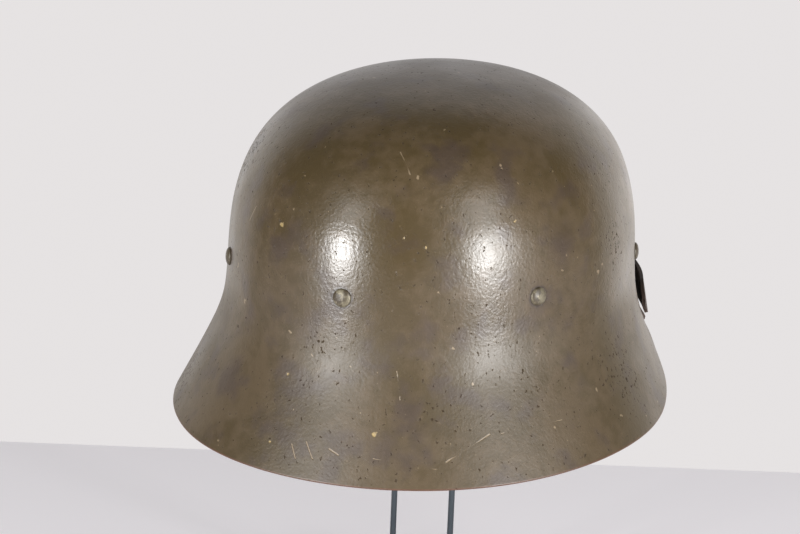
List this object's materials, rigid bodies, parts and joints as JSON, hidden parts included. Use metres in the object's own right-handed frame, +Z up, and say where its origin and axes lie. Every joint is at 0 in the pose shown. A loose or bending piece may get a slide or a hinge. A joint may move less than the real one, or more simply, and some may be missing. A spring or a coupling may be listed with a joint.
{
  "type": "military steel helmet on a rod stand",
  "caption": "Deep flared steel helmet with riveted crown, visor, neck guard and a leather chin strap buckled over the visor, hung on a plain bent-rod stand with a flat base.",
  "frame": {"origin": "middle of the whole part on the floor, under the stand's base", "axes": "+Z up, -Y towards the visor, +X towards the wearer's left"},
  "size_m": [0.234, 0.2828, 0.2754],
  "materials": {
    "paint": "worn brown-olive paint, half gloss, with pits, chips and scratches",
    "worn_steel": "steel with paint worn to a greenish grey",
    "strap_leather": "dark brown leather, waxed",
    "stand_steel": "dark slate enamel"
  },
  "bodies": {
    "root": {"shell": "paint", "rivet_rear": "worn_steel", "rivet_rear_left": "worn_steel", "rivet_rear_right": "worn_steel", "rivet_side_left": "worn_steel", "rivet_side_right": "worn_steel", "rivet_front_left": "worn_steel", "rivet_front_right": "worn_steel", "strap_long": "strap_leather", "strap_short": "strap_leather", "buckle_frame": "worn_steel", "buckle_prong": "worn_steel", "stand_hoop": "stand_steel", "stand_base": "stand_steel"}
  },
  "joints": []
}
